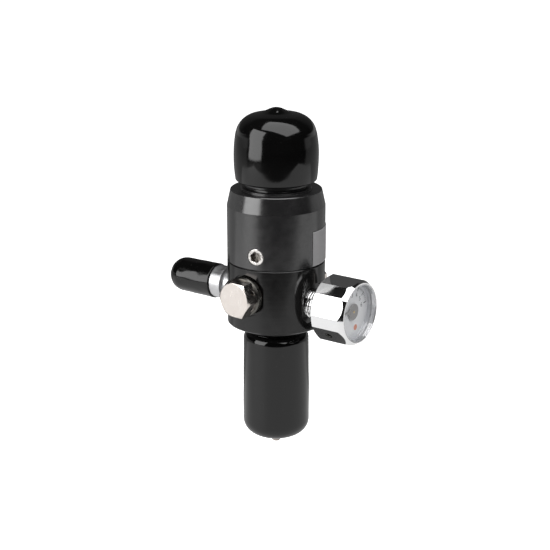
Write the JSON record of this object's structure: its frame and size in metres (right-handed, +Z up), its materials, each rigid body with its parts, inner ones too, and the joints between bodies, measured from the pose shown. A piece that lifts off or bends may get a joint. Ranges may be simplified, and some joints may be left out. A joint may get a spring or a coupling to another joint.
{
  "type": "high-pressure-air tank regulator",
  "caption": "Compressed-air tank regulator: black body and bonnet, hex-cased gauge, hex burst plugs, fill nipple and soft vinyl dust caps over its bottle, outlet and fill connections.",
  "frame": {"origin": "centre of the flat seat ring under the body, where the regulator meets the bottle's neck", "axes": "+Z up the regulator's axis towards the outlet; seen from the front (looking along +Y) the gauge points right and towards the viewer at azimuth -36 degrees, and the fill nipple points left and away at 144 degrees"},
  "size_m": [0.0682, 0.0548, 0.1137],
  "materials": {
    "black_anodised_aluminium": "satin black anodised",
    "black_vinyl": "glossy dip-moulded black vinyl",
    "chrome_plate": "bright chrome plate",
    "nickel_plate": "polished nickel plate with fine scratches",
    "stainless_steel": "turned stainless steel",
    "spring_steel": "oiled spring steel",
    "brass": "turned brass",
    "sintered_bronze": "porous sintered bronze",
    "copper": "soft copper",
    "black_nitrile": "matt nitrile rubber",
    "white_nylon": "machined nylon",
    "label_foil": "satin grey foil, blank",
    "dial_white": "printed white enamel",
    "pointer_grey": "grey painted pointer",
    "clear_window": "clear polycarbonate"
  },
  "bodies": {
    "regulator_body": {"body": "black_anodised_aluminium", "bottle_neck_oring": "black_nitrile", "inlet_filter": "sintered_bronze", "filter_retainer": "stainless_steel", "seat_housing": "brass", "seat_housing_oring": "black_nitrile", "spring_shims": "spring_steel", "disc_springs": "spring_steel", "fill_nipple": "stainless_steel", "nipple_oring": "black_nitrile", "nipple_spring_stop": "brass", "nipple_spring": "spring_steel", "low_burst_plug": "nickel_plate", "low_burst_washer": "copper", "low_burst_disc": "copper", "high_burst_plug": "nickel_plate", "high_burst_washer": "copper", "high_burst_disc": "copper", "gauge_stem": "chrome_plate", "gauge_case": "chrome_plate", "gauge_bourdon_tube": "copper", "gauge_movement_frame": "brass", "gauge_dial": "dial_white", "gauge_window_seal": "dial_white", "gauge_window": "clear_window", "gauge_bezel": "chrome_plate"},
    "bonnet": {"bonnet": "black_anodised_aluminium", "bonnet_set_screws": "chrome_plate", "rating_label": "label_foil", "outlet_face_oring": "black_nitrile", "outlet_valve_core": "brass", "outlet_core_oring": "black_nitrile", "outlet_pin_spring": "spring_steel"},
    "piston": {"piston": "stainless_steel", "valve_seat": "white_nylon", "piston_head_oring": "black_nitrile", "piston_stem_oring": "black_nitrile"},
    "outlet_pin": {"outlet_pin": "stainless_steel", "outlet_pin_seal": "black_nitrile"},
    "nipple_poppet": {"nipple_poppet": "stainless_steel", "nipple_poppet_seal": "black_nitrile"},
    "gauge_sector": {"gauge_sector_gear": "brass"},
    "gauge_pointer": {"gauge_pinion": "brass", "gauge_pointer": "pointer_grey"},
    "outlet_cap": {"outlet_cap": "black_vinyl"},
    "bottle_cap": {"bottle_cap": "black_vinyl"},
    "nipple_cap": {"nipple_cap": "black_vinyl"}
  },
  "joints": [
    {"name": "bonnet_turn", "type": "hinge", "parent": "regulator_body", "child": "bonnet", "pos_m": [0, 0, 0.03], "axis": [0, 0, 1], "range_deg": [-180, 180]},
    {"name": "outlet_cap_pull", "type": "slide", "parent": "bonnet", "child": "outlet_cap", "axis": [0, 0, 1], "range_m": [0, 0.035]},
    {"name": "bottle_cap_pull", "type": "slide", "parent": "regulator_body", "child": "bottle_cap", "axis": [0, 0, -1], "range_m": [0, 0.05]},
    {"name": "nipple_cap_pull", "type": "slide", "parent": "regulator_body", "child": "nipple_cap", "axis": [-0.809, 0.5878, 0], "range_m": [0, 0.03]},
    {"name": "piston_slide", "type": "slide", "parent": "regulator_body", "child": "piston", "axis": [0, 0, -1], "range_m": [0, 0.00078], "stiffness_N_per_m": 500, "deforming": ["disc_springs"]},
    {"name": "outlet_pin_press", "type": "slide", "parent": "bonnet", "child": "outlet_pin", "axis": [0, 0, -1], "range_m": [0, 0.002], "stiffness_N_per_m": 300, "deforming": ["outlet_pin_spring"]},
    {"name": "nipple_poppet_slide", "type": "slide", "parent": "regulator_body", "child": "nipple_poppet", "axis": [0.809, -0.5878, 0], "range_m": [0, 0.0015], "stiffness_N_per_m": 200, "deforming": ["nipple_spring"]},
    {"name": "gauge_sector_turn", "type": "hinge", "parent": "regulator_body", "child": "gauge_sector", "pos_m": [0.02406, -0.01213, 0.0072], "axis": [0.809, -0.5878, 0], "range_deg": [0, 41.25]},
    {"name": "gauge_pointer_turn", "type": "hinge", "parent": "regulator_body", "child": "gauge_pointer", "pos_m": [0.02152, -0.01563, 0.0097], "axis": [-0.809, 0.5878, 0], "range_deg": [0, 165]}
  ],
  "couplings": [
    {"joint": "gauge_pointer_turn", "follows": "gauge_sector_turn", "ratio": 4}
  ]
}
